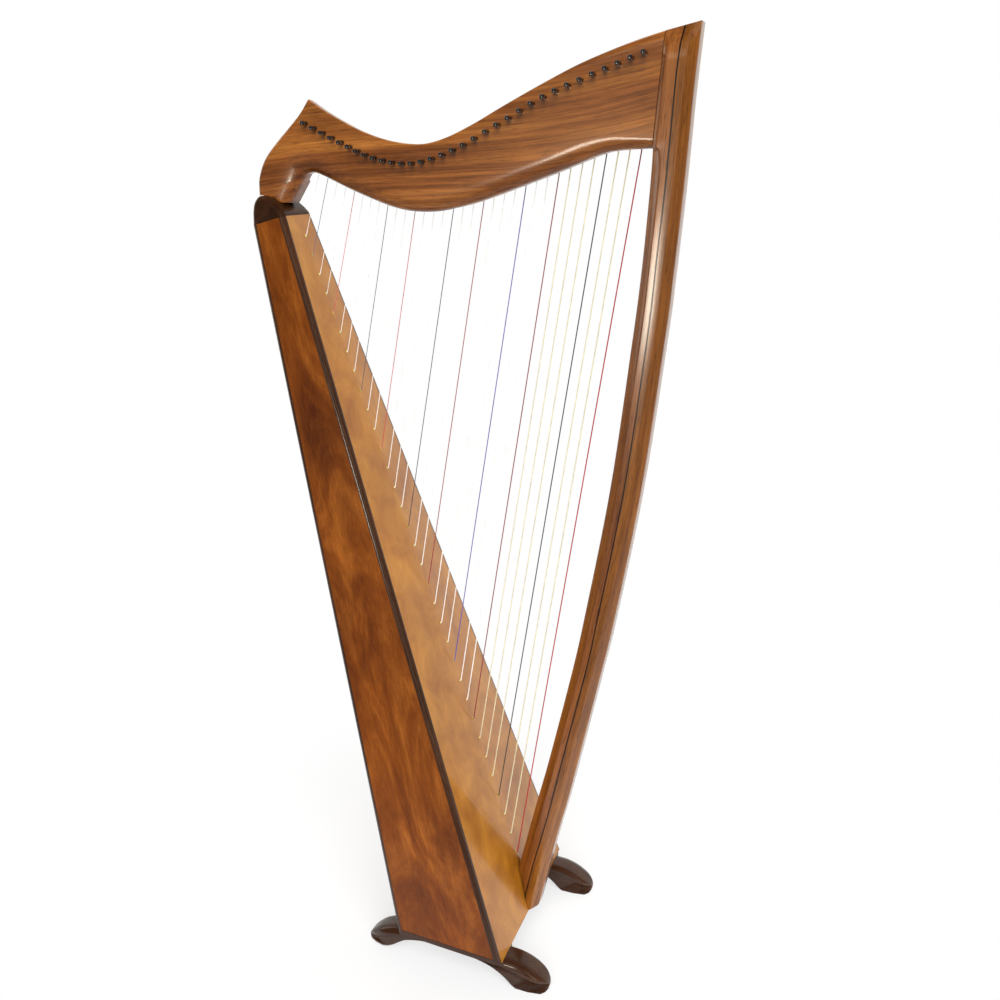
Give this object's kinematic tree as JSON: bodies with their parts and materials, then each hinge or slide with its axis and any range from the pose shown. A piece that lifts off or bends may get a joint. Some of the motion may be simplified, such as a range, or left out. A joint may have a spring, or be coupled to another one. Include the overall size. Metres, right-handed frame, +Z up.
{
  "type": "lever harp",
  "caption": "Floor harp with a tapered wooden soundbox, a curved neck, a bowed front pillar, a row of turning tuning pins, strings and two arched foot rails.",
  "frame": {"origin": "on the floor, under the middle of the harp's overall box", "axes": "+X towards the front (the pillar), +Y towards the player's left (the side where the strings run beside the neck), +Z up"},
  "size_m": [0.6679, 0.3216, 1.4761],
  "materials": {
    "frame_wood": "satin varnish",
    "side_wood": "satin varnish",
    "dark_wood": "satin varnish",
    "board_wood": "satin varnish",
    "inner_wood": "bare, sanded",
    "veneer": "satin varnish",
    "pin_steel": "blackened, polished",
    "steel": "plain",
    "nylon": "clear gloss"
  },
  "bodies": {
    "harp": {"neck": "frame_wood", "pillar_inner_lamination": "frame_wood", "pillar_outer_lamination": "frame_wood", "side_panel_left": "side_wood", "side_panel_right": "side_wood", "back_panel": "side_wood", "front_corner_post_left": "dark_wood", "front_corner_post_right": "dark_wood", "back_corner_post_left": "dark_wood", "back_corner_post_right": "dark_wood", "top_block": "dark_wood", "bottom_board": "dark_wood", "foot_rail_left": "dark_wood", "foot_rail_right": "dark_wood", "soundboard": "board_wood", "string_rib": "inner_wood", "base_block": "inner_wood", "back_brace_upper": "inner_wood", "back_brace_middle": "inner_wood", "back_brace_lower": "inner_wood", "pillar_accent_strip": "veneer", "pillar_bolt": "steel", "treble_strings": "nylon", "upper_middle_strings": "nylon", "lower_middle_strings": "nylon", "bass_strings": "nylon"},
    "tuning_pin_01": {"tuning_pin_01": "pin_steel"},
    "tuning_pin_02": {"tuning_pin_02": "pin_steel"},
    "tuning_pin_03": {"tuning_pin_03": "pin_steel"},
    "tuning_pin_04": {"tuning_pin_04": "pin_steel"},
    "tuning_pin_05": {"tuning_pin_05": "pin_steel"},
    "tuning_pin_06": {"tuning_pin_06": "pin_steel"},
    "tuning_pin_07": {"tuning_pin_07": "pin_steel"},
    "tuning_pin_08": {"tuning_pin_08": "pin_steel"},
    "tuning_pin_09": {"tuning_pin_09": "pin_steel"},
    "tuning_pin_10": {"tuning_pin_10": "pin_steel"},
    "tuning_pin_11": {"tuning_pin_11": "pin_steel"},
    "tuning_pin_12": {"tuning_pin_12": "pin_steel"},
    "tuning_pin_13": {"tuning_pin_13": "pin_steel"},
    "tuning_pin_14": {"tuning_pin_14": "pin_steel"},
    "tuning_pin_15": {"tuning_pin_15": "pin_steel"},
    "tuning_pin_16": {"tuning_pin_16": "pin_steel"},
    "tuning_pin_17": {"tuning_pin_17": "pin_steel"},
    "tuning_pin_18": {"tuning_pin_18": "pin_steel"},
    "tuning_pin_19": {"tuning_pin_19": "pin_steel"},
    "tuning_pin_20": {"tuning_pin_20": "pin_steel"},
    "tuning_pin_21": {"tuning_pin_21": "pin_steel"},
    "tuning_pin_22": {"tuning_pin_22": "pin_steel"},
    "tuning_pin_23": {"tuning_pin_23": "pin_steel"},
    "tuning_pin_24": {"tuning_pin_24": "pin_steel"},
    "tuning_pin_25": {"tuning_pin_25": "pin_steel"},
    "tuning_pin_26": {"tuning_pin_26": "pin_steel"},
    "tuning_pin_27": {"tuning_pin_27": "pin_steel"},
    "tuning_pin_28": {"tuning_pin_28": "pin_steel"},
    "tuning_pin_29": {"tuning_pin_29": "pin_steel"},
    "tuning_pin_30": {"tuning_pin_30": "pin_steel"},
    "tuning_pin_31": {"tuning_pin_31": "pin_steel"},
    "tuning_pin_32": {"tuning_pin_32": "pin_steel"},
    "tuning_pin_33": {"tuning_pin_33": "pin_steel"}
  },
  "joints": [
    {"name": "tuning_pin_01_turn", "type": "hinge", "parent": "harp", "child": "tuning_pin_01", "pos_m": [-0.2406, 0, 1.3616], "axis": [0, 1, 0], "continuous": true},
    {"name": "tuning_pin_02_turn", "type": "hinge", "parent": "harp", "child": "tuning_pin_02", "pos_m": [-0.22559, 0, 1.35477], "axis": [0, 1, 0], "continuous": true},
    {"name": "tuning_pin_03_turn", "type": "hinge", "parent": "harp", "child": "tuning_pin_03", "pos_m": [-0.2105, 0, 1.34786], "axis": [0, 1, 0], "continuous": true},
    {"name": "tuning_pin_04_turn", "type": "hinge", "parent": "harp", "child": "tuning_pin_04", "pos_m": [-0.19558, 0, 1.34112], "axis": [0, 1, 0], "continuous": true},
    {"name": "tuning_pin_05_turn", "type": "hinge", "parent": "harp", "child": "tuning_pin_05", "pos_m": [-0.1811, 0, 1.3348], "axis": [0, 1, 0], "continuous": true},
    {"name": "tuning_pin_06_turn", "type": "hinge", "parent": "harp", "child": "tuning_pin_06", "pos_m": [-0.16739, 0, 1.32874], "axis": [0, 1, 0], "continuous": true},
    {"name": "tuning_pin_07_turn", "type": "hinge", "parent": "harp", "child": "tuning_pin_07", "pos_m": [-0.15422, 0, 1.32288], "axis": [0, 1, 0], "continuous": true},
    {"name": "tuning_pin_08_turn", "type": "hinge", "parent": "harp", "child": "tuning_pin_08", "pos_m": [-0.14102, 0, 1.31763], "axis": [0, 1, 0], "continuous": true},
    {"name": "tuning_pin_09_turn", "type": "hinge", "parent": "harp", "child": "tuning_pin_09", "pos_m": [-0.1272, 0, 1.3134], "axis": [0, 1, 0], "continuous": true},
    {"name": "tuning_pin_10_turn", "type": "hinge", "parent": "harp", "child": "tuning_pin_10", "pos_m": [-0.11262, 0, 1.31], "axis": [0, 1, 0], "continuous": true},
    {"name": "tuning_pin_11_turn", "type": "hinge", "parent": "harp", "child": "tuning_pin_11", "pos_m": [-0.09757, 0, 1.30731], "axis": [0, 1, 0], "continuous": true},
    {"name": "tuning_pin_12_turn", "type": "hinge", "parent": "harp", "child": "tuning_pin_12", "pos_m": [-0.0822, 0, 1.30584], "axis": [0, 1, 0], "continuous": true},
    {"name": "tuning_pin_13_turn", "type": "hinge", "parent": "harp", "child": "tuning_pin_13", "pos_m": [-0.0666, 0, 1.3061], "axis": [0, 1, 0], "continuous": true},
    {"name": "tuning_pin_14_turn", "type": "hinge", "parent": "harp", "child": "tuning_pin_14", "pos_m": [-0.05076, 0, 1.30842], "axis": [0, 1, 0], "continuous": true},
    {"name": "tuning_pin_15_turn", "type": "hinge", "parent": "harp", "child": "tuning_pin_15", "pos_m": [-0.03464, 0, 1.31246], "axis": [0, 1, 0], "continuous": true},
    {"name": "tuning_pin_16_turn", "type": "hinge", "parent": "harp", "child": "tuning_pin_16", "pos_m": [-0.01832, 0, 1.31774], "axis": [0, 1, 0], "continuous": true},
    {"name": "tuning_pin_17_turn", "type": "hinge", "parent": "harp", "child": "tuning_pin_17", "pos_m": [-0.0019, 0, 1.3238], "axis": [0, 1, 0], "continuous": true},
    {"name": "tuning_pin_18_turn", "type": "hinge", "parent": "harp", "child": "tuning_pin_18", "pos_m": [0.01467, 0, 1.33086], "axis": [0, 1, 0], "continuous": true},
    {"name": "tuning_pin_19_turn", "type": "hinge", "parent": "harp", "child": "tuning_pin_19", "pos_m": [0.03143, 0, 1.33906], "axis": [0, 1, 0], "continuous": true},
    {"name": "tuning_pin_20_turn", "type": "hinge", "parent": "harp", "child": "tuning_pin_20", "pos_m": [0.04821, 0, 1.34778], "axis": [0, 1, 0], "continuous": true},
    {"name": "tuning_pin_21_turn", "type": "hinge", "parent": "harp", "child": "tuning_pin_21", "pos_m": [0.0649, 0, 1.3564], "axis": [0, 1, 0], "continuous": true},
    {"name": "tuning_pin_22_turn", "type": "hinge", "parent": "harp", "child": "tuning_pin_22", "pos_m": [0.0814, 0, 1.36505], "axis": [0, 1, 0], "continuous": true},
    {"name": "tuning_pin_23_turn", "type": "hinge", "parent": "harp", "child": "tuning_pin_23", "pos_m": [0.09781, 0, 1.37396], "axis": [0, 1, 0], "continuous": true},
    {"name": "tuning_pin_24_turn", "type": "hinge", "parent": "harp", "child": "tuning_pin_24", "pos_m": [0.11424, 0, 1.38266], "axis": [0, 1, 0], "continuous": true},
    {"name": "tuning_pin_25_turn", "type": "hinge", "parent": "harp", "child": "tuning_pin_25", "pos_m": [0.1308, 0, 1.3907], "axis": [0, 1, 0], "continuous": true},
    {"name": "tuning_pin_26_turn", "type": "hinge", "parent": "harp", "child": "tuning_pin_26", "pos_m": [0.14756, 0, 1.39785], "axis": [0, 1, 0], "continuous": true},
    {"name": "tuning_pin_27_turn", "type": "hinge", "parent": "harp", "child": "tuning_pin_27", "pos_m": [0.16444, 0, 1.40438], "axis": [0, 1, 0], "continuous": true},
    {"name": "tuning_pin_28_turn", "type": "hinge", "parent": "harp", "child": "tuning_pin_28", "pos_m": [0.18135, 0, 1.4106], "axis": [0, 1, 0], "continuous": true},
    {"name": "tuning_pin_29_turn", "type": "hinge", "parent": "harp", "child": "tuning_pin_29", "pos_m": [0.1982, 0, 1.4168], "axis": [0, 1, 0], "continuous": true},
    {"name": "tuning_pin_30_turn", "type": "hinge", "parent": "harp", "child": "tuning_pin_30", "pos_m": [0.21496, 0, 1.42298], "axis": [0, 1, 0], "continuous": true},
    {"name": "tuning_pin_31_turn", "type": "hinge", "parent": "harp", "child": "tuning_pin_31", "pos_m": [0.23168, 0, 1.42902], "axis": [0, 1, 0], "continuous": true},
    {"name": "tuning_pin_32_turn", "type": "hinge", "parent": "harp", "child": "tuning_pin_32", "pos_m": [0.24839, 0, 1.435], "axis": [0, 1, 0], "continuous": true},
    {"name": "tuning_pin_33_turn", "type": "hinge", "parent": "harp", "child": "tuning_pin_33", "pos_m": [0.2651, 0, 1.441], "axis": [0, 1, 0], "continuous": true}
  ]
}
